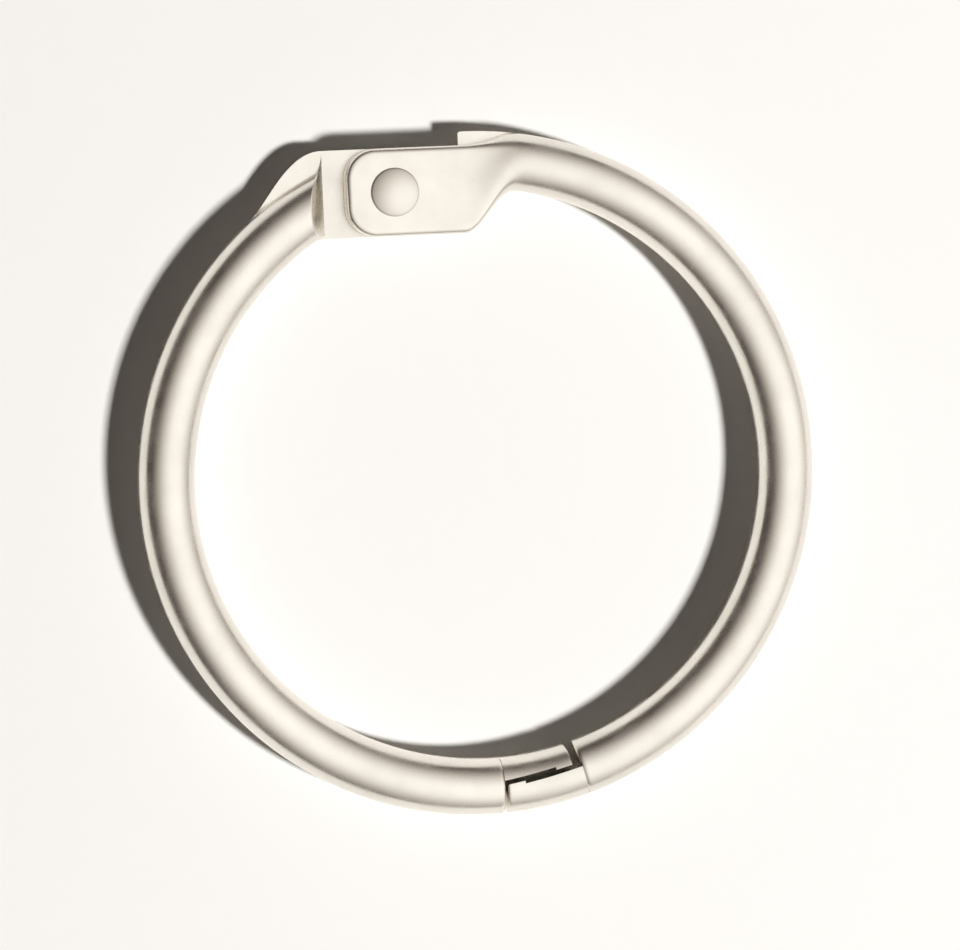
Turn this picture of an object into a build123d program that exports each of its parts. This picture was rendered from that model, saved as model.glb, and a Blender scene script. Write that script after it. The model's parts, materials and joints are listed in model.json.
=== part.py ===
from build123d import *
import os
from math import asin, cos, degrees, radians, sin, sqrt, tan

# A hinged loose-leaf ring of round wire: two half rings, riveted together at the hinge and lapped at
# the latch. Millimetres. It lies flat, with +Z up, the hinge towards +Y and the ring's centre at x = y = 0.

# Ring and wire
inner_diameter = 25.0
wire_diameter = 2.5

# Hinge: each half's wire end is pressed into a flat ear, one above mid-height and one below. The rest of
# the wire's thickness ends on a slope, clear of the other half's ear.
ear_width = 3.8
ear_gap = 0.05
ear_tip_reach = 2.1
ear_corner_radius = 1.3
ear_edge_radius = 0.25
ear_tilt = 15.0
hinge_inset = 0.8
tip_space = 0.9
shoulder_slope = 28.0
flare_length = 3.0
flare_stations = 5
flare_step = 0.02

# Rivet, peened at both ends, level with the wire's top and bottom
shank_diameter = 1.3
head_diameter = 2.1
head_height = 0.28
head_rim = 0.06
head_play = 0.04
bore_clearance = 0.05

# Latch: the upper half's tongue lies outside the lower half's, along a line nearer the ring's inner side,
# each with a tooth at its tip
lap_length = 3.1
lap_shift = 1.6
lap_inset = 0.35
lap_clearance = 0.04
tooth_length = 0.8
tooth_relief = 0.12
outer_tip_gap = 0.12
inner_tip_gap = 0.35

wire_radius = wire_diameter / 2
ring_radius = inner_diameter / 2 + wire_radius
hinge_radius = ring_radius - hinge_inset
rivet_centre = Vector(0, hinge_radius, 0)
shoulder_distance = ear_tip_reach + tip_space
ear_base = ear_gap / 2
ear_top = wire_radius - head_height
up = Vector(0, 0, 1)
far = 4 * ring_radius


def along_ring(length):
    """The angle, in degrees, that a length takes up along the wire's middle."""
    return degrees(length / ring_radius)


def direction(angle):
    """A flat unit vector at an angle from +X."""
    return Vector(cos(radians(angle)), sin(radians(angle)))


# Angles from +X, anticlockwise: where the wire starts to flatten, and the two tongues' tips
flare_angle = 90 - along_ring(shoulder_distance + flare_length)
lap_middle = 270 - along_ring(lap_shift)
lap_radius = (direction(lap_middle) * (ring_radius - lap_inset) - rivet_centre).length
outer_tip = lap_middle - along_ring(lap_length) / 2
inner_tip = lap_middle + along_ring(lap_length) / 2
outer_shoulder = outer_tip - along_ring(outer_tip_gap)
inner_shoulder = inner_tip + along_ring(inner_tip_gap)
tooth_angle = along_ring(tooth_length)


def wire_arc(start, end):
    """Round wire along the ring, from one angle to a larger one."""
    section = Plane.XZ * Pos(ring_radius, 0) * Circle(wire_radius)
    return Rot(0, 0, start) * revolve(section, Axis.Z, revolution_arc=end - start)


def sector(start, end):
    """An upright wedge about the ring's centre, between two angles."""
    outline = Polyline((0, 0), direction(start) * far, direction(end) * far, close=True)
    return Pos(0, 0, -far / 2) * extrude(make_face(outline), amount=far)


def about_rivet(radius):
    """An upright cylinder about the rivet: a face that it cuts slides along itself as the ring opens."""
    return Pos(rivet_centre) * Cylinder(radius, far)


def mirrored(points):
    """Control points on the other side of a section, in the order that carries on round it."""
    return [Vector(-p.X, p.Y) for p in reversed(points)]


def wire_outline():
    """The round wire's outline above the ear's underside, a step inside it: five arcs' control points."""
    radius = wire_radius - flare_step
    low = degrees(asin(ear_base / radius))
    marks = [low, 30, 60, 120, 150, 180 - low]
    arcs = []
    for start, end in zip(marks, marks[1:]):
        pull = 4 / 3 * tan(radians(end - start) / 4)
        first = direction(start)
        last = direction(end)
        arc = [first, first + direction(start + 90) * pull, last - direction(end + 90) * pull, last]
        arcs.append([p * radius for p in arc])
    return arcs


def ear_outline():
    """The ear's outline, a step inside it, as control points: side, rounded edge, top, edge and side."""
    half = ear_width / 2 - flare_step
    top_height = ear_top - flare_step
    pull = ear_edge_radius * 4 / 3 * (sqrt(2) - 1)
    side_top = top_height - ear_edge_radius
    top_end = half - ear_edge_radius
    side = [Vector(half, ear_base + (side_top - ear_base) * k / 3) for k in range(4)]
    edge = [
        Vector(half, side_top),
        Vector(half, side_top + pull),
        Vector(top_end + pull, top_height),
        Vector(top_end, top_height),
    ]
    top = [Vector(top_end * (1 - 2 * k / 3), top_height) for k in range(4)]
    return [side, edge, top, mirrored(edge), mirrored(side)]


def flare_section(share, place):
    """A section of the flare, from the round wire at share 0 to the flat ear at share 1."""
    blend = share * share * (3 - 2 * share)
    edges = []
    for wire_run, ear_run in zip(wire_outline(), ear_outline()):
        edges.append(Bezier(*[p + (q - p) * blend for p, q in zip(wire_run, ear_run)]))
    edges.append(Line(edges[-1] @ 1, edges[0] @ 0))
    return place * make_face(edges)


def flare(tilt):
    """The wire's upper half as it widens into the ear, which leans by the tilt from the ring's line."""
    ear_way = direction(-tilt)
    start = direction(flare_angle) * ring_radius
    end = rivet_centre + ear_way * shoulder_distance
    handle = flare_length / 3
    spine = Bezier(start, start + direction(flare_angle + 90) * handle, end + ear_way * handle, end)
    turn = (180 - tilt) - (flare_angle + 90)
    sections = []
    for k in range(flare_stations):
        share = k / (flare_stations - 1)
        way = direction(flare_angle + 90 + turn * share)
        sections.append(flare_section(share, Plane(spine @ share, x_dir=up.cross(way), z_dir=way)))
    return loft(sections)


def ear_plate():
    """The flat ear about the rivet, with its wire towards +X, cut off square a step past the shoulder."""
    blank_length = 2 * shoulder_distance + ear_tip_reach
    corner = min(ear_corner_radius, 0.45 * ear_width)
    outline = Pos(blank_length / 2 - ear_tip_reach, 0) * Rectangle(blank_length, ear_width)
    outline = fillet(outline.vertices().group_by(Axis.X)[0], corner)
    plate = Pos(0, 0, ear_base) * extrude(outline, amount=ear_top - ear_base)
    plate = fillet(plate.edges().group_by(Axis.Z)[-1], ear_edge_radius)
    return plate & Pos(shoulder_distance + flare_step - far / 2, 0, 0) * Box(far, far, far)


def half_ring(tilt, wire_end):
    """A half on the right of the hinge, its ear above mid-height, from the sloped end to an angle below."""
    ear_place = Pos(rivet_centre) * Rot(0, 0, -tilt)
    under_wire = wire_arc(flare_angle, 90) & Pos(0, 0, ear_base - far / 2) * Box(far, far, far)
    shoulder = Pos(shoulder_distance, 0, ear_base) * Rot(0, -shoulder_slope, 0)
    under_wire -= ear_place * shoulder * Pos(-far / 2, 0, 0) * Box(far, far, far)
    return under_wire + flare(tilt) + ear_place * ear_plate() + wire_arc(wire_end, flare_angle)


def upper_half_ring():
    """The right half, with the upper ear, the outer tongue and a hole that holds the rivet's shank."""
    tongue_face = lap_radius + lap_clearance
    half = half_ring(ear_tilt, outer_tip - 360)
    half -= about_rivet(tongue_face) & sector(outer_shoulder, inner_shoulder)
    half -= about_rivet(tongue_face + tooth_relief) & sector(outer_tip + tooth_angle, inner_shoulder)
    return half - about_rivet(shank_diameter / 2)


def lower_half_ring():
    """The left half, turned over so that its ear is the lower one, with the inner tongue."""
    tongue_face = lap_radius - lap_clearance
    half = Rot(0, 180, 0) * half_ring(-ear_tilt, 180 - inner_tip)
    half -= sector(outer_shoulder, inner_shoulder) - about_rivet(tongue_face)
    half -= sector(outer_shoulder, inner_tip - tooth_angle) - about_rivet(tongue_face - tooth_relief)
    return half - about_rivet(shank_diameter / 2 + bore_clearance)


def rivet():
    """The rivet: a shank through both ears between two low domed heads, the lower one with a little play."""
    shank = shank_diameter / 2
    head = head_diameter / 2
    seat = -ear_top - head_play
    upper_dome = TangentArc((0, wire_radius), (head, ear_top + head_rim), tangent=(1, 0))
    lower_dome = TangentArc((0, -wire_radius), (head, seat - head_rim), tangent=(1, 0))
    side = Polyline(
        (head, ear_top + head_rim), (head, ear_top), (shank, ear_top),
        (shank, seat), (head, seat), (head, seat - head_rim),
    )
    profile = make_face([upper_dome, side, lower_dome, Line((0, -wire_radius), (0, wire_radius))])
    return Pos(rivet_centre) * revolve(Plane.XZ * profile, Axis.Z)


pieces = {
    "half_ring_upper": upper_half_ring(),
    "half_ring_lower": lower_half_ring(),
    "rivet": rivet(),
}

os.makedirs("parts", exist_ok=True)
for name, piece in pieces.items():
    export_step(Pos(0, 0, wire_radius) * piece, f"parts/{name}.step")
    print(name, round(piece.volume, 3), piece.bounding_box())
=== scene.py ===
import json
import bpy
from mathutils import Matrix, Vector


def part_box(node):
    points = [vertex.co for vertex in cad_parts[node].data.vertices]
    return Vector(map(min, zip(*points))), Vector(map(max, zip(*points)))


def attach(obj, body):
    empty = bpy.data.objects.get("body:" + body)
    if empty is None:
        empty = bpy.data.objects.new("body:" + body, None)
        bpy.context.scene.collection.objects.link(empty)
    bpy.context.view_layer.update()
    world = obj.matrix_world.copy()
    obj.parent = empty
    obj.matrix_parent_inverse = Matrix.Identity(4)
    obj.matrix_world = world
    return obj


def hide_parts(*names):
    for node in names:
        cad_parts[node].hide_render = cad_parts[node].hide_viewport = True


bl_info = {
    "name": "Binder ring",
    "version": (1, 0, 0),
    "blender": (4, 5, 0),
    "location": "3D View > Sidebar > Binder ring",
    "description": "Makes the looks of a hinged loose-leaf ring of plated wire around its fixed frame",
    "category": "Object",
}

from math import acos, asin, cos, hypot, pi, radians, sin, sqrt, tan

import bmesh
import bpy
from bpy.props import FloatProperty, FloatVectorProperty, PointerProperty
from mathutils import Matrix, Vector

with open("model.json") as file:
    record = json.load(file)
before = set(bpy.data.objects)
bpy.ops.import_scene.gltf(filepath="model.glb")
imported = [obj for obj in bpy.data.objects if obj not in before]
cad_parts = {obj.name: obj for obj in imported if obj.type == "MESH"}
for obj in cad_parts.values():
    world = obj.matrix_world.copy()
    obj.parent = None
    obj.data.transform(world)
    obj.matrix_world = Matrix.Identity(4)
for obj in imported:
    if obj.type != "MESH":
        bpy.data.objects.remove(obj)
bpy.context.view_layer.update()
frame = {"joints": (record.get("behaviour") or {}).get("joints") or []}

MM = 0.001

# Places from the frame
RIVET_PLACE = frame["joints"][0]["pos_m"]
RIVET_FOOT = Vector((RIVET_PLACE[0], RIVET_PLACE[1], 0))
WIRE_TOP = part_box("half_ring_upper")[1].z

# Fineness of the meshes: points round the wire and the rivet, and sections along each run
PROFILE_SIDES = 96
RIVET_SIDES = 72
WIRE_STATIONS = 241
FLARE_STEPS = 40
EAR_STEPS = 24
CORNER_STEPS = 36
EDGE_STEPS = 10
TONGUE_STEPS = 16
TOOTH_STEPS = 8
DOME_STEPS = 14
MERGE_DISTANCE = 0.0005 * MM
SPECK_LENGTH = 0.0002 * MM
SHARP_ANGLE = radians(50)

# Small forms of the metal
SETTLE_RATE = 8
TIP_BREAK_SHARE = 0.3
HEAD_BREAK = 0.03 * MM
HEAD_SIDE_SHARE = 0.6
CROWN_RADIUS = 0.004 * MM

# Finish of the plating, with noise scales in marks a metre and the stretch of the noise that shows
CLOUD_SCALE = 260
CLOUD_RANGE = (0.35, 0.7)
CLOUD_DULLING = 0.9
RUB_SCALE = 900
RUB_STRETCH = (1, 1, 4)
RUB_RANGE = (0.3, 0.75)
RUB_GLOSS = (0.75, 1.35)
RIPPLE_SCALE = 420
RIPPLE_STRENGTH = 0.05
RIPPLE_DEPTH = 0.05 * MM
RIVET_ROUGHNESS_SHARE = 0.7

# Floor
FLOOR_RADIUS = 2.0
FLOOR_SIDES = 128
FLOOR_ROUGHNESS = 0.75
FLOOR_SPECULAR = 0.2
FLOOR_GRAIN_SCALE = 900
FLOOR_GRAIN_RANGE = (0.3, 0.7)
FLOOR_GRAIN_SHADE = 0.995

# The side of the ring that the camera leans to, from +X in the picture, and its nearest sight
CAMERA_SIDE = radians(156.6)
CAMERA_CLIP_START = 0.005

# The lamp, and the middle of the bright side, as distances out from the ring and up
LAMP_OUT = 0.55
LAMP_RISE = 0.66
LAMP_SIZE = 0.1
LAMP_COLOUR = (1.0, 0.98, 0.955)
BRIGHT_OUT = 0.5
BRIGHT_RISE = 0.87

# Tones of the surroundings in gloss, by how nearly a direction faces the bright side, and the tone that
# they light the shadows with
GLOSS_TONES = {
    0.0: (0.09, 0.078, 0.07),
    0.26: (0.26, 0.235, 0.215),
    0.54: (0.6, 0.565, 0.53),
    0.78: (0.93, 0.9, 0.86),
    0.93: (1.16, 1.145, 1.12),
    1.0: (1.2, 1.185, 1.16),
}
FILL_TONE = (0.045, 0.038, 0.033)


def length(name, text, default):
    """A property for a length in metres."""
    return FloatProperty(name=name, description=text, default=default, min=0, unit="LENGTH", precision=5)


def colour(name, text, default):
    """A property for a colour."""
    return FloatVectorProperty(
        name=name, description=text, default=default, subtype="COLOR", size=3, min=0, max=1)


def angle_size(name, text, degrees):
    """A property for an angle, given in degrees."""
    return FloatProperty(name=name, description=text, default=radians(degrees), subtype="ANGLE")


class RingSizes(bpy.types.PropertyGroup):
    """Sizes of the two half rings."""

    wire_diameter: length("Wire diameter", "Thickness of the round wire", WIRE_TOP)
    inner_diameter: length("Inner diameter", "Clear width inside the closed ring", 25 * MM)
    ear_width: length("Ear width", "Width of the flat ear about the rivet", 3.8 * MM)
    ear_gap: length("Ear gap", "Space between the two ears", 0.05 * MM)
    ear_tip_reach: length("Ear tip reach", "From the rivet's middle to the ear's tip", 2.1 * MM)
    ear_corner: length("Ear corner", "Radius of the ear's corners, seen from above", 1.3 * MM)
    ear_edge: length("Ear edge", "Rounding of the ear's outer edge", 0.25 * MM)
    ear_drop: length("Ear drop", "How far the ear's flat lies below the wire's top", 0.28 * MM)
    ear_tilt: angle_size("Ear tilt", "Lean of the ears from the ring's line", 15)
    tip_space: length("Tip space", "From an ear's tip to the other half's shoulder", 0.9 * MM)
    shoulder_slope: angle_size("Shoulder slope", "Slope of the cut end beside the ear, from upright", 28)
    flare_length: length("Flare length", "Run of wire that widens into the ear", 3.0 * MM)
    lap_length: length("Lap length", "Run over which the two tongues lie side by side", 3.1 * MM)
    lap_shift: length("Lap shift", "From straight opposite the hinge to the lap's middle", 1.6 * MM)
    lap_inset: length("Lap inset", "How far the lap's line lies inside the wire's middle", 0.35 * MM)
    lap_clearance: length("Lap clearance", "Space between each tongue and the lap's line", 0.04 * MM)
    tooth_length: length("Tooth length", "Length of the tooth at a tongue's tip", 0.8 * MM)
    tooth_relief: length("Tooth relief", "How far a tongue is cut back behind its tooth", 0.12 * MM)
    outer_tip_gap: length("Outer tip gap", "Slit at the outer tongue's tip", 0.12 * MM)
    inner_tip_gap: length("Inner tip gap", "Slit at the inner tongue's tip", 0.35 * MM)
    edge_break: length("Edge break", "Small rounding of the cut edges", 0.07 * MM)


class RivetSizes(bpy.types.PropertyGroup):
    """Sizes of the rivet."""

    shank_diameter: length("Shank diameter", "Thickness of the rivet's shank", 1.3 * MM)
    head_diameter: length("Head diameter", "Width of the peened heads", 2.1 * MM)
    head_rim: length("Head rim", "Height of a head's edge above the ear", 0.06 * MM)
    head_play: length("Head play", "Space under the lower head", 0.04 * MM)
    bore_clearance: length("Bore clearance", "Space about the shank in the lower ear", 0.05 * MM)


class Finishes(bpy.types.PropertyGroup):
    """Colours and gloss of the metal."""

    nickel: colour("Nickel", "Plating on the wire", (0.9, 0.86, 0.79))
    rivet_nickel: colour("Rivet nickel", "Plating on the rivet", (0.86, 0.815, 0.745))
    roughness: FloatProperty(
        name="Roughness", description="Gloss of the plating, 0 for a mirror", default=0.26, min=0, max=1)


class StageSettings(bpy.types.PropertyGroup):
    """Floor, light and camera."""

    floor: colour("Floor", "Colour of the floor and the surroundings", (0.98, 0.978, 0.97))
    camera_distance: length("Camera distance", "From the ring's middle to the camera", 0.16)
    lens: FloatProperty(name="Lens", description="Focal length in millimetres", default=137)
    roll: angle_size("Roll", "Turn of the ring in the picture", 17.5)
    lean: angle_size("Lean", "Camera's angle off straight down", 11)
    key_energy: FloatProperty(name="Key light", description="Power of the lamp, in watts", default=9.0)


def flat_way(angle):
    """A flat unit vector at an angle from +X."""
    return Vector((cos(angle), sin(angle), 0))


def smooth_share(share):
    """A share from 0 to 1, eased at both ends."""
    return share * share * (3 - 2 * share)


class RingShape:
    """The ring's own measures, worked out from its sizes. The wire's middle is at height 0 here."""

    def __init__(self, sizes):
        self.sizes = sizes
        self.wire = sizes.wire_diameter / 2
        self.ring = sizes.inner_diameter / 2 + self.wire
        self.hinge = RIVET_PLACE[1]
        self.ear_half = sizes.ear_width / 2
        self.ear_base = sizes.ear_gap / 2
        self.ear_top = self.wire - sizes.ear_drop
        self.shoulder = sizes.ear_tip_reach + sizes.tip_space
        self.flare_angle = pi / 2 - (self.shoulder + sizes.flare_length) / self.ring
        middle = 3 * pi / 2 - sizes.lap_shift / self.ring
        self.lap = (flat_way(middle) * (self.ring - sizes.lap_inset) - Vector((0, self.hinge, 0))).length
        self.outer_tip = middle - sizes.lap_length / 2 / self.ring
        self.inner_tip = middle + sizes.lap_length / 2 / self.ring
        self.outer_shoulder = self.outer_tip - sizes.outer_tip_gap / self.ring
        self.inner_shoulder = self.inner_tip + sizes.inner_tip_gap / self.ring

    def on_ring(self, angle, inward, height):
        """A point of the section across the wire at an angle round the ring."""
        return flat_way(angle) * (self.ring - inward) + Vector((0, 0, height))


def ear_height(shape, along, across):
    """Height of the ear's top at a place on it, from the rivet: flat, and rounded down at its outline."""
    sizes = shape.sizes
    past_corner = max(0, sizes.ear_corner - sizes.ear_tip_reach - along)
    beside_corner = max(0, abs(across) - (shape.ear_half - sizes.ear_corner))
    inside = sizes.ear_corner - hypot(past_corner, beside_corner)
    short = min(sizes.ear_edge, max(0, sizes.ear_edge - inside))
    return shape.ear_top - sizes.ear_edge + sqrt(sizes.ear_edge ** 2 - short ** 2)


def ear_half_width(shape, along):
    """Half the ear's width at a place along it, narrower at its rounded tip."""
    sizes = shape.sizes
    past_corner = max(0, sizes.ear_corner - sizes.ear_tip_reach - along)
    return shape.ear_half - sizes.ear_corner + sqrt(max(0, sizes.ear_corner ** 2 - past_corner ** 2))


def ear_outline(shape, along, turn):
    """A point of the ear's outline above its underside, at a turn from 0 to pi: side, edge and top."""
    if turn > pi / 2:
        across, height = ear_outline(shape, along, pi - turn)
        return -across, height
    half = ear_half_width(shape, along)
    rim = shape.ear_top - shape.sizes.ear_edge
    # The side, the rounded edge and the top's half each take a third of the quarter turn.
    if turn < pi / 6:
        share = turn / (pi / 6)
        return half, shape.ear_base + (rim - shape.ear_base) * share
    if turn < pi / 3:
        across = half - shape.sizes.ear_edge * (1 - cos((turn - pi / 6) * 3))
    else:
        across = (half - shape.sizes.ear_edge) * (1 - (turn - pi / 3) / (pi / 6))
    return across, ear_height(shape, along, across)


def lower_turns(shape):
    """Turns round the wire's section for the points below the ear's underside, its two ends among them."""
    count = PROFILE_SIDES // 2 - 1
    low = asin(shape.ear_base / shape.wire)
    return [pi - low + (pi + 2 * low) * k / (count - 1) for k in range(count)]


def upper_turns():
    """Turns round the wire's section for the points of its upper half, from the inner side to the outer."""
    return [2 * pi * k / PROFILE_SIDES for k in range(PROFILE_SIDES // 2 + 1)]


def shoulder_angle(shape, tilt, inward, depth):
    """The angle round the ring at which a line along the wire, at a depth below the ear, ends."""
    reach = shape.shoulder + depth * tan(shape.sizes.shoulder_slope) - shape.hinge * sin(tilt)
    return acos(reach / (shape.ring - inward)) - tilt


def flare_loop(shape, tilt, share, edge=0.0):
    """The section at a share of the flare: its top widens into the ear, its lower half stays round."""
    way = pi - tilt - (shape.flare_angle + pi / 2)
    start = flat_way(shape.flare_angle) * shape.ring
    ear_way = flat_way(-tilt)
    end = Vector((0, shape.hinge, 0)) + ear_way * shape.shoulder
    handle = shape.sizes.flare_length / 3
    stays = [start, start + flat_way(shape.flare_angle + pi / 2) * handle, end + ear_way * handle, end]
    weights = [(1 - share) ** 3, 3 * share * (1 - share) ** 2, 3 * share ** 2 * (1 - share), share ** 3]
    spine = sum((stay * weight for stay, weight in zip(stays, weights)), Vector())
    inward = flat_way(shape.flare_angle + way * share + pi)
    blend = smooth_share(share)
    points = []
    for turn in upper_turns():
        across, height = ear_outline(shape, shape.shoulder, turn)
        across = shape.wire * cos(turn) * (1 - blend) + across * blend
        height = shape.wire * sin(turn) * (1 - blend) + height * blend
        points.append(spine + inward * across + Vector((0, 0, height)))
    # The lower points move from the bent wire's even turns to their own over the flare's first stretch.
    settle = min(1, share * SETTLE_RATE)
    turns = lower_turns(shape)
    for k, turn in enumerate(turns):
        even = pi + 2 * pi * (k + 1) / PROFILE_SIDES
        turn = even + (turn - even) * settle
        radius = shape.wire - edge
        across = radius * cos(turn)
        height = radius * sin(turn)
        finish = shoulder_angle(shape, tilt, across, shape.ear_base - height)
        angle = shape.flare_angle + (finish - shape.flare_angle) * share
        points.append(shape.on_ring(angle, across, height))
    return points


def plate_loop(shape, tilt, along):
    """The section across the flat ear at a place along it."""
    ear_way = flat_way(-tilt)
    inward = flat_way(-tilt - pi / 2)
    middle = Vector((0, shape.hinge, 0)) + ear_way * along
    points = []
    for turn in upper_turns():
        across, height = ear_outline(shape, along, turn)
        points.append(middle + inward * across + Vector((0, 0, height)))
    half = ear_half_width(shape, along)
    count = PROFILE_SIDES // 2
    for k in range(1, count):
        across = -half + 2 * half * k / count
        points.append(middle + inward * across + Vector((0, 0, shape.ear_base)))
    return points


def ear_loops(shape, tilt):
    """Sections from the round wire, through the flare and its shoulder, to the ear's tip."""
    sizes = shape.sizes
    loops = [flare_loop(shape, tilt, k / FLARE_STEPS) for k in range(FLARE_STEPS + 1)]
    loops.insert(-1, flare_loop(shape, tilt, 1 - sizes.edge_break / sizes.flare_length))
    loops[-1] = flare_loop(shape, tilt, 1, sizes.edge_break)
    corner = sizes.ear_corner - sizes.ear_tip_reach
    places = [shape.shoulder + (corner - shape.shoulder) * k / EAR_STEPS for k in range(EAR_STEPS + 1)]
    bend = [corner - sizes.ear_corner * sin(pi / 2 * k / CORNER_STEPS) for k in range(1, CORNER_STEPS)]
    places += [place for place in bend if place > sizes.ear_edge - sizes.ear_tip_reach]
    tip = [sizes.ear_edge * (1 - sin(pi / 2 * k / EDGE_STEPS)) for k in range(EDGE_STEPS + 1)]
    places += [place - sizes.ear_tip_reach for place in tip]
    loops += [plate_loop(shape, tilt, place) for place in places]
    return loops


def lap_depth(shape, angle, reach):
    """How far inside the wire's middle a face about the rivet crosses the section at an angle."""
    run = shape.hinge * sin(angle) + sqrt(reach ** 2 - (shape.hinge * cos(angle)) ** 2)
    return shape.ring - run


def tongue_loop(shape, angle, reach, outer, inset=0.0):
    """The section of a tongue: round on one side, flat along the lap, drawn in by an inset at its tip."""
    facing = -1 if outer else 1
    flat = facing * lap_depth(shape, angle, reach) + inset
    radius = shape.wire - inset
    limit = acos(flat / radius)
    quarter = PROFILE_SIDES // 4
    points = []
    # Places count from the middle of the round side: a quarter of the points each way lie on it, and the
    # rest lie on the flat.
    for k in range(PROFILE_SIDES):
        step = k if k <= PROFILE_SIDES // 2 else k - PROFILE_SIDES
        if not outer:
            place = step
        else:
            place = step - PROFILE_SIDES // 2 if step > 0 else step + PROFILE_SIDES // 2
        if abs(place) <= quarter:
            turn = limit * place / quarter
            across = radius * cos(turn)
            height = radius * sin(turn)
        else:
            left = PROFILE_SIDES // 2 - abs(place)
            across = flat
            height = radius * sin(limit) * left / quarter * (1 if place > 0 else -1)
        if outer:
            across = -across
            height = -height
        points.append(shape.on_ring(angle, across, height))
    return points


def round_loop(shape, angle):
    """The plain wire's section at an angle round the ring."""
    turns = [2 * pi * k / PROFILE_SIDES for k in range(PROFILE_SIDES)]
    return [shape.on_ring(angle, shape.wire * cos(turn), shape.wire * sin(turn)) for turn in turns]


def tongue_loops(shape, outer):
    """Sections from the round wire to a tongue's tip, with the step behind its tooth."""
    sizes = shape.sizes
    side = 1 if outer else -1
    start = shape.inner_shoulder if outer else shape.outer_shoulder
    tip = shape.outer_tip if outer else shape.inner_tip
    break_angle = sizes.edge_break / shape.ring
    tooth_start = tip + side * sizes.tooth_length / shape.ring
    tooth_reach = shape.lap + side * sizes.lap_clearance
    relief_reach = tooth_reach + side * sizes.tooth_relief
    loops = [round_loop(shape, start + side * break_angle)]
    rounded = round_loop(shape, start)
    tongue = tongue_loop(shape, start, relief_reach, outer)
    middle = flat_way(start) * shape.ring
    for k, point in enumerate(rounded):
        if (point - tongue[k]).length > sizes.edge_break:
            rounded[k] = middle + (point - middle) * (1 - sizes.edge_break / shape.wire)
    loops.append(rounded)
    loops.append(tongue)
    for k in range(1, TONGUE_STEPS + 1):
        angle = start + (tooth_start - start) * k / TONGUE_STEPS
        loops.append(tongue_loop(shape, angle, relief_reach, outer))
    for k in range(TOOTH_STEPS + 1):
        angle = tooth_start + (tip + side * break_angle - tooth_start) * k / TOOTH_STEPS
        loops.append(tongue_loop(shape, angle, tooth_reach, outer))
    near_tip = tip + side * break_angle * TIP_BREAK_SHARE
    loops.append(tongue_loop(shape, near_tip, tooth_reach, outer, sizes.edge_break * TIP_BREAK_SHARE))
    loops.append(tongue_loop(shape, tip, tooth_reach, outer, sizes.edge_break))
    return loops


def skin(mesh, loops, cap_first=False, cap_last=False):
    """Adds faces between loops of as many points, and over an end where asked."""
    rows = [[mesh.verts.new(point) for point in loop] for loop in loops]
    count = len(rows[0])
    for row, following in zip(rows, rows[1:]):
        for k in range(count):
            after = (k + 1) % count
            mesh.faces.new((row[k], row[after], following[after], following[k]))
    if cap_first:
        mesh.faces.new(reversed(rows[0]))
    if cap_last:
        mesh.faces.new(rows[-1])


def finish_mesh(mesh, name, material, turned=False):
    """Closes a mesh, lifts it onto the floor and gives it its material. Returns the object."""
    bmesh.ops.remove_doubles(mesh, verts=mesh.verts, dist=MERGE_DISTANCE)
    bmesh.ops.dissolve_degenerate(mesh, edges=mesh.edges, dist=SPECK_LENGTH)
    if turned:
        bmesh.ops.transform(mesh, matrix=Matrix.Rotation(pi, 4, "Y"), verts=mesh.verts)
    bmesh.ops.translate(mesh, vec=(0, 0, WIRE_TOP / 2), verts=mesh.verts)
    bmesh.ops.recalc_face_normals(mesh, faces=mesh.faces)
    for face in mesh.faces:
        face.smooth = True
    data = bpy.data.meshes.new(name)
    mesh.to_mesh(data)
    mesh.free()
    data.set_sharp_from_angle(angle=SHARP_ANGLE)
    data.materials.append(material)
    piece = bpy.data.objects.new(name, data)
    bpy.context.collection.objects.link(piece)
    return piece


def evaluated_mesh(piece):
    """A piece's mesh with its modifiers applied, as a plain mesh."""
    bpy.context.view_layer.update()
    graph = bpy.context.evaluated_depsgraph_get()
    return bpy.data.meshes.new_from_object(piece.evaluated_get(graph))


def lathe_loops(profile):
    """Circles about the rivet's axis, one for each radius and height of a profile."""
    turns = [2 * pi * k / RIVET_SIDES for k in range(RIVET_SIDES)]
    loops = []
    for radius, height in profile:
        loops.append([RIVET_FOOT + flat_way(turn) * radius + Vector((0, 0, height)) for turn in turns])
    return loops


def bore(piece, radius):
    """Cuts the rivet's hole through a piece's ear."""
    mesh = bmesh.new()
    skin(mesh, lathe_loops([(radius, -WIRE_TOP), (radius, 2 * WIRE_TOP)]), cap_first=True, cap_last=True)
    bmesh.ops.recalc_face_normals(mesh, faces=mesh.faces)
    data = bpy.data.meshes.new("drill")
    mesh.to_mesh(data)
    mesh.free()
    drill = bpy.data.objects.new("drill", data)
    bpy.context.collection.objects.link(drill)
    cut = piece.modifiers.new("Rivet hole", "BOOLEAN")
    cut.operation = "DIFFERENCE"
    cut.solver = "EXACT"
    cut.object = drill
    solid = piece.data
    piece.data = evaluated_mesh(piece)
    piece.modifiers.remove(cut)
    piece.data.name = solid.name
    bpy.data.objects.remove(drill)
    bpy.data.meshes.remove(solid)


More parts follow.
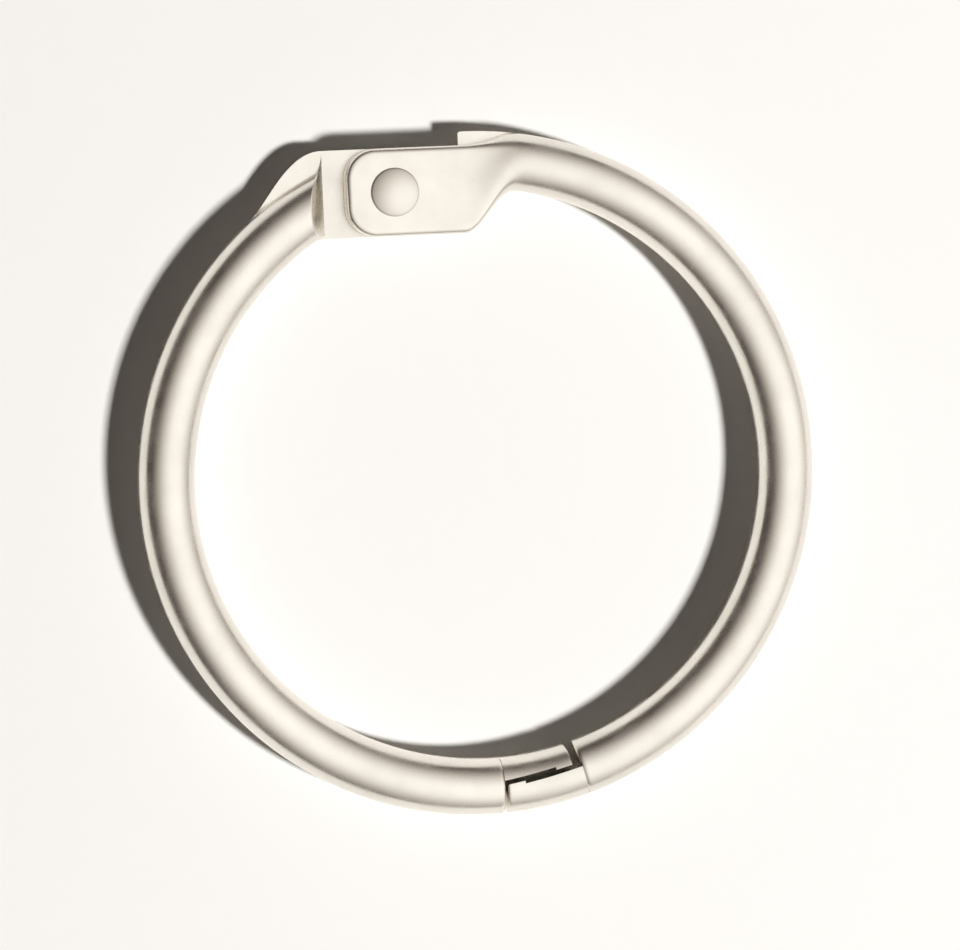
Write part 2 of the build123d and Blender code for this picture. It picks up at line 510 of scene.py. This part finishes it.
def wire_tree():
    """A node tree that bends round wire along an arc about the origin, open at both ends."""
    tree = bpy.data.node_groups.new("Bent wire", "GeometryNodeTree")
    kinds = {
        "Ring diameter": "NodeSocketFloat",
        "Wire diameter": "NodeSocketFloat",
        "Start": "NodeSocketFloat",
        "Sweep": "NodeSocketFloat",
        "Stations": "NodeSocketInt",
        "Sides": "NodeSocketInt",
        "Finish": "NodeSocketMaterial",
    }
    names = {}
    for name, kind in kinds.items():
        names[name] = tree.interface.new_socket(name=name, in_out="INPUT", socket_type=kind).identifier
    tree.interface.new_socket(name="Geometry", in_out="OUTPUT", socket_type="NodeSocketGeometry")
    given = tree.nodes.new("NodeGroupInput")
    radii = {}
    for name in ("Ring diameter", "Wire diameter"):
        half = tree.nodes.new("ShaderNodeMath")
        half.operation = "MULTIPLY"
        half.inputs[1].default_value = 0.5
        tree.links.new(given.outputs[name], half.inputs[0])
        radii[name] = half.outputs["Value"]
    arc = tree.nodes.new("GeometryNodeCurveArc")
    tree.links.new(given.outputs["Stations"], arc.inputs["Resolution"])
    tree.links.new(radii["Ring diameter"], arc.inputs["Radius"])
    tree.links.new(given.outputs["Start"], arc.inputs["Start Angle"])
    tree.links.new(given.outputs["Sweep"], arc.inputs["Sweep Angle"])
    upright = tree.nodes.new("GeometryNodeSetCurveNormal")
    upright.mode = "Z_UP"
    tree.links.new(arc.outputs["Curve"], upright.inputs["Curve"])
    profile = tree.nodes.new("GeometryNodeCurvePrimitiveCircle")
    tree.links.new(given.outputs["Sides"], profile.inputs["Resolution"])
    tree.links.new(radii["Wire diameter"], profile.inputs["Radius"])
    sweep = tree.nodes.new("GeometryNodeCurveToMesh")
    tree.links.new(upright.outputs["Curve"], sweep.inputs["Curve"])
    tree.links.new(profile.outputs["Curve"], sweep.inputs["Profile Curve"])
    real = tree.nodes.new("GeometryNodeRealizeInstances")
    tree.links.new(sweep.outputs["Mesh"], real.inputs["Geometry"])
    coat = tree.nodes.new("GeometryNodeSetMaterial")
    tree.links.new(real.outputs["Geometry"], coat.inputs["Geometry"])
    tree.links.new(given.outputs["Finish"], coat.inputs["Material"])
    result = tree.nodes.new("NodeGroupOutput")
    tree.links.new(coat.outputs["Geometry"], result.inputs["Geometry"])
    return tree, names


def bent_wire(shape, start, sweep, material):
    """Round wire along the ring, as a plain mesh."""
    tree, names = wire_tree()
    holder = bpy.data.objects.new("wire_holder", bpy.data.meshes.new("wire_holder"))
    bpy.context.collection.objects.link(holder)
    modifier = holder.modifiers.new("Bent wire", "NODES")
    modifier.node_group = tree
    values = {
        "Ring diameter": shape.ring * 2,
        "Wire diameter": shape.wire * 2,
        "Start": start,
        "Sweep": sweep,
        "Stations": WIRE_STATIONS,
        "Sides": PROFILE_SIDES,
        "Finish": material,
    }
    for name, value in values.items():
        modifier[names[name]] = value
    result = evaluated_mesh(holder)
    holder.modifiers.remove(modifier)
    bpy.data.objects.remove(holder)
    bpy.data.node_groups.remove(tree)
    return result


def seat_ends(mesh, sections):
    """Moves the open ends of the bent wire onto the sections that carry it on."""
    targets = [point for section in sections for point in section]
    ends = {vert for edge in mesh.edges if edge.is_boundary for vert in edge.verts}
    for vert in ends:
        vert.co = min(targets, key=lambda point: (point - vert.co).length_squared)


def half_ring(shape, name, material, outer):
    """One half: plain wire, its ear at one end and its tongue at the other. Returns the object."""
    sizes = shape.sizes
    tilt = sizes.ear_tilt if outer else -sizes.ear_tilt
    tongue = tongue_loops(shape, outer)
    if outer:
        start = shape.inner_shoulder + sizes.edge_break / shape.ring - 2 * pi
    else:
        start = pi - (shape.outer_shoulder - sizes.edge_break / shape.ring)
        tongue = [[Vector((-p.x, p.y, -p.z)) for p in loop] for loop in tongue]
    mesh = bmesh.new()
    wire = bent_wire(shape, start, shape.flare_angle - start, material)
    mesh.from_mesh(wire)
    bpy.data.meshes.remove(wire)
    ear = ear_loops(shape, tilt)
    seat_ends(mesh, (tongue[0], ear[0]))
    skin(mesh, tongue, cap_last=True)
    skin(mesh, ear, cap_last=True)
    return finish_mesh(mesh, name, material, turned=not outer)


def new_material(name):
    """A fresh node material with its shader and object coordinates. Returns the material and both nodes."""
    material = bpy.data.materials.new(name)
    material.use_nodes = True
    nodes = material.node_tree.nodes
    shader = nodes["Principled BSDF"]
    place = nodes.new("ShaderNodeTexCoord")
    return material, shader, place


def noise(material, place, scale, detail, stretch=(1, 1, 1)):
    """Noise on an object's own coordinates. Returns the node."""
    tree = material.node_tree
    mapping = tree.nodes.new("ShaderNodeMapping")
    mapping.inputs["Scale"].default_value = stretch
    tree.links.new(place.outputs["Object"], mapping.inputs["Vector"])
    texture = tree.nodes.new("ShaderNodeTexNoise")
    texture.inputs["Scale"].default_value = scale
    texture.inputs["Detail"].default_value = detail
    tree.links.new(mapping.outputs["Vector"], texture.inputs["Vector"])
    return texture


def spread(material, source, low, high, to_low, to_high):
    """Stretches a value from one range to another. Returns the node."""
    tree = material.node_tree
    ranged = tree.nodes.new("ShaderNodeMapRange")
    for name, value in (("From Min", low), ("From Max", high), ("To Min", to_low), ("To Max", to_high)):
        ranged.inputs[name].default_value = value
    tree.links.new(source, ranged.inputs["Value"])
    return ranged


def mix_colours(material, share, first, second):
    """Blends two colours by a share. Returns the node's colour output."""
    tree = material.node_tree
    mix = tree.nodes.new("ShaderNodeMix")
    mix.data_type = "RGBA"
    mix.inputs["A"].default_value = (*first, 1)
    mix.inputs["B"].default_value = (*second, 1)
    tree.links.new(share, mix.inputs["Factor"])
    return mix.outputs["Result"]


def plating(name, base, roughness):
    """Bright nickel plate: clouded a little by handling, with fine rubbing marks."""
    material, shader, place = new_material(name)
    tree = material.node_tree
    shader.inputs["Metallic"].default_value = 1.0
    handled = noise(material, place, CLOUD_SCALE, detail=4)
    cloud = spread(material, handled.outputs["Fac"], *CLOUD_RANGE, 0.0, 1.0)
    dull = [channel * CLOUD_DULLING for channel in base]
    mixed = mix_colours(material, cloud.outputs["Result"], base, dull)
    tree.links.new(mixed, shader.inputs["Base Color"])
    rubbed = noise(material, place, RUB_SCALE, detail=6, stretch=RUB_STRETCH)
    smoothest, roughest = [roughness * share for share in RUB_GLOSS]
    gloss = spread(material, rubbed.outputs["Fac"], *RUB_RANGE, smoothest, roughest)
    tree.links.new(gloss.outputs["Result"], shader.inputs["Roughness"])
    ripple = noise(material, place, RIPPLE_SCALE, detail=2)
    bump = tree.nodes.new("ShaderNodeBump")
    bump.inputs["Strength"].default_value = RIPPLE_STRENGTH
    bump.inputs["Distance"].default_value = RIPPLE_DEPTH
    tree.links.new(ripple.outputs["Fac"], bump.inputs["Height"])
    tree.links.new(bump.outputs["Normal"], shader.inputs["Normal"])
    return material


class RING_OT_upper_half(bpy.types.Operator):
    """Makes the right half, with the upper ear and the outer tongue"""

    bl_idname = "binder_ring.upper_half"
    bl_label = "Upper-ear half"

    def execute(self, context):
        finishes = context.scene.ring_finishes
        nickel = plating("nickel_wire_upper", finishes.nickel, finishes.roughness)
        piece = half_ring(RingShape(context.scene.ring_sizes), "upper_ear_wire", nickel, True)
        bore(piece, context.scene.rivet_sizes.shank_diameter / 2)
        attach(piece, "upper_ear_half")
        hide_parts("half_ring_upper")
        return {"FINISHED"}


class RING_OT_lower_half(bpy.types.Operator):
    """Makes the left half, with the lower ear and the inner tongue"""

    bl_idname = "binder_ring.lower_half"
    bl_label = "Lower-ear half"

    def execute(self, context):
        finishes = context.scene.ring_finishes
        nickel = plating("nickel_wire_lower", finishes.nickel, finishes.roughness)
        piece = half_ring(RingShape(context.scene.ring_sizes), "lower_ear_wire", nickel, False)
        rivet = context.scene.rivet_sizes
        bore(piece, rivet.shank_diameter / 2 + rivet.bore_clearance)
        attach(piece, "lower_ear_half")
        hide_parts("half_ring_lower")
        return {"FINISHED"}


def dome(radius, rise, top):
    """A rivet head's outline from its foot up to near its crown, as radii and heights."""
    curve = (radius ** 2 + rise ** 2) / (2 * rise)
    foot = asin(radius / curve)
    marks = [foot * (1 - k / DOME_STEPS) for k in range(DOME_STEPS + 1)]
    return [(max(curve * sin(mark), CROWN_RADIUS), top - curve * (1 - cos(mark))) for mark in marks]


def rivet_profile(shape, sizes):
    """The rivet's outline from the bottom up, as radii and heights: lower head, shank and upper head."""
    head = sizes.head_diameter / 2
    shank = sizes.shank_diameter / 2
    seat = -shape.ear_top - sizes.head_play
    side = sizes.head_rim * HEAD_SIDE_SHARE
    upper = dome(head - HEAD_BREAK, shape.wire - shape.ear_top - sizes.head_rim, shape.wire)
    lower = dome(head - HEAD_BREAK, shape.wire + seat - sizes.head_rim, shape.wire)
    profile = [(radius, -height) for radius, height in reversed(lower)]
    profile += [(head, seat - side), (head, seat), (shank, seat), (shank, shape.ear_top)]
    profile += [(head, shape.ear_top), (head, shape.ear_top + side)]
    return profile + upper


class RING_OT_rivet(bpy.types.Operator):
    """Makes the rivet, with a low domed head at each end"""

    bl_idname = "binder_ring.rivet"
    bl_label = "Rivet"

    def execute(self, context):
        finishes = context.scene.ring_finishes
        profile = rivet_profile(RingShape(context.scene.ring_sizes), context.scene.rivet_sizes)
        mesh = bmesh.new()
        skin(mesh, lathe_loops(profile), cap_first=True, cap_last=True)
        plate = plating("nickel_rivet", finishes.rivet_nickel, finishes.roughness * RIVET_ROUGHNESS_SHARE)
        piece = finish_mesh(mesh, "hinge_rivet", plate)
        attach(piece, "upper_ear_half")
        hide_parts("rivet")
        return {"FINISHED"}


def aimed(name, data, place, target, up):
    """Adds a lamp or camera at a place, looking at a target, with its top towards a direction."""
    back = (place - target).normalized()
    side = up.cross(back).normalized()
    top = back.cross(side)
    item = bpy.data.objects.new(name, data)
    item.matrix_world = Matrix.Translation(place) @ Matrix((side, top, back)).transposed().to_4x4()
    bpy.context.collection.objects.link(item)
    return item


def floor_material(shade):
    """Plain pale floor."""
    material, shader, place = new_material("pale_floor")
    tree = material.node_tree
    speck = noise(material, place, FLOOR_GRAIN_SCALE, detail=2)
    grain = spread(material, speck.outputs["Fac"], *FLOOR_GRAIN_RANGE, 0.0, 1.0)
    second = [channel * FLOOR_GRAIN_SHADE for channel in shade]
    mixed = mix_colours(material, grain.outputs["Result"], shade, second)
    tree.links.new(mixed, shader.inputs["Base Color"])
    shader.inputs["Roughness"].default_value = FLOOR_ROUGHNESS
    shader.inputs["Specular IOR Level"].default_value = FLOOR_SPECULAR
    return material


def ray_mix(tree, path, ray):
    """A node that takes its second colour for one kind of ray, and its first for the others."""
    mix = tree.nodes.new("ShaderNodeMix")
    mix.data_type = "RGBA"
    tree.links.new(path.outputs[ray], mix.inputs["Factor"])
    return mix


def make_world(shade, bright_side):
    """Surroundings: the floor's shade to the camera, and in gloss a dome that dims from its bright side."""
    world = bpy.data.worlds.new("surroundings")
    bpy.context.scene.world = world
    world.use_nodes = True
    tree = world.node_tree
    place = tree.nodes.new("ShaderNodeTexCoord")
    facing = tree.nodes.new("ShaderNodeVectorMath")
    facing.operation = "DOT_PRODUCT"
    facing.inputs[1].default_value = bright_side.normalized()
    tree.links.new(place.outputs["Generated"], facing.inputs[0])
    ramp = tree.nodes.new("ShaderNodeValToRGB")
    stops = ramp.color_ramp.elements
    for share in list(GLOSS_TONES)[1:-1]:
        stops.new(share)
    for stop, tone in zip(stops, GLOSS_TONES.values()):
        stop.color = (*tone, 1)
    tree.links.new(facing.outputs["Value"], ramp.inputs["Fac"])
    path = tree.nodes.new("ShaderNodeLightPath")
    gloss = ray_mix(tree, path, "Is Glossy Ray")
    gloss.inputs["A"].default_value = (*FILL_TONE, 1)
    tree.links.new(ramp.outputs["Color"], gloss.inputs["B"])
    seen = ray_mix(tree, path, "Is Camera Ray")
    tree.links.new(gloss.outputs["Result"], seen.inputs["A"])
    seen.inputs["B"].default_value = (*shade, 1)
    tree.links.new(seen.outputs["Result"], tree.nodes["Background"].inputs["Color"])


class RING_OT_stage(bpy.types.Operator):
    """Makes the floor, the lamp, the surroundings and the camera"""

    bl_idname = "binder_ring.stage"
    bl_label = "Stage"

    def execute(self, context):
        settings = context.scene.ring_stage
        mesh = bmesh.new()
        bmesh.ops.create_circle(mesh, cap_ends=True, segments=FLOOR_SIDES, radius=FLOOR_RADIUS)
        data = bpy.data.meshes.new("floor")
        mesh.to_mesh(data)
        mesh.free()
        data.materials.append(floor_material(settings.floor))
        floor = bpy.data.objects.new("floor", data)
        bpy.context.collection.objects.link(floor)
        upright = Vector((0, 0, 1))
        middle = upright * (WIRE_TOP / 2)
        camera_side = CAMERA_SIDE - settings.roll
        lamp_side = flat_way(camera_side + pi)
        make_world(settings.floor, lamp_side * BRIGHT_OUT + upright * BRIGHT_RISE)
        key = bpy.data.lights.new("key", "AREA")
        key.energy = settings.key_energy
        key.size = LAMP_SIZE
        key.color = LAMP_COLOUR
        lamp = aimed("key", key, lamp_side * LAMP_OUT + upright * LAMP_RISE, middle, upright)
        lamp.visible_glossy = False
        view = bpy.data.cameras.new("camera")
        view.lens = settings.lens
        view.clip_start = CAMERA_CLIP_START
        away = flat_way(camera_side) * sin(settings.lean) + upright * cos(settings.lean)
        up = flat_way(pi / 2 - settings.roll)
        camera = aimed("camera", view, middle + away * settings.camera_distance, middle, up)
        context.scene.camera = camera
        context.scene.view_settings.view_transform = "Standard"
        return {"FINISHED"}


class RING_PT_panel(bpy.types.Panel):
    """Lists the ring's pieces and their sizes"""

    bl_idname = "RING_PT_panel"
    bl_label = "Binder ring"
    bl_space_type = "VIEW_3D"
    bl_region_type = "UI"
    bl_category = "Binder ring"

    def draw(self, context):
        for operator in OPERATORS:
            self.layout.operator(operator.bl_idname)
        scene = context.scene
        for holder in (scene.ring_sizes, scene.rivet_sizes, scene.ring_finishes, scene.ring_stage):
            for name in holder.__annotations__:
                self.layout.prop(holder, name)


OPERATORS = (RING_OT_upper_half, RING_OT_lower_half, RING_OT_rivet, RING_OT_stage)
GROUPS = (RingSizes, RivetSizes, Finishes, StageSettings)


def register():
    """Registers the classes and hangs the sizes, finishes and stage on the scene."""
    for item in GROUPS + OPERATORS + (RING_PT_panel,):
        bpy.utils.register_class(item)
    bpy.types.Scene.ring_sizes = PointerProperty(type=RingSizes)
    bpy.types.Scene.rivet_sizes = PointerProperty(type=RivetSizes)
    bpy.types.Scene.ring_finishes = PointerProperty(type=Finishes)
    bpy.types.Scene.ring_stage = PointerProperty(type=StageSettings)


def unregister():
    """Takes away what register added."""
    del bpy.types.Scene.ring_stage
    del bpy.types.Scene.ring_finishes
    del bpy.types.Scene.rivet_sizes
    del bpy.types.Scene.ring_sizes
    for item in reversed(GROUPS + OPERATORS + (RING_PT_panel,)):
        bpy.utils.unregister_class(item)


def main():
    """Makes every piece and the stage."""
    register()
    bpy.ops.binder_ring.upper_half()
    bpy.ops.binder_ring.lower_half()
    bpy.ops.binder_ring.rivet()
    bpy.ops.binder_ring.stage()


if __name__ == "__main__":
    main()
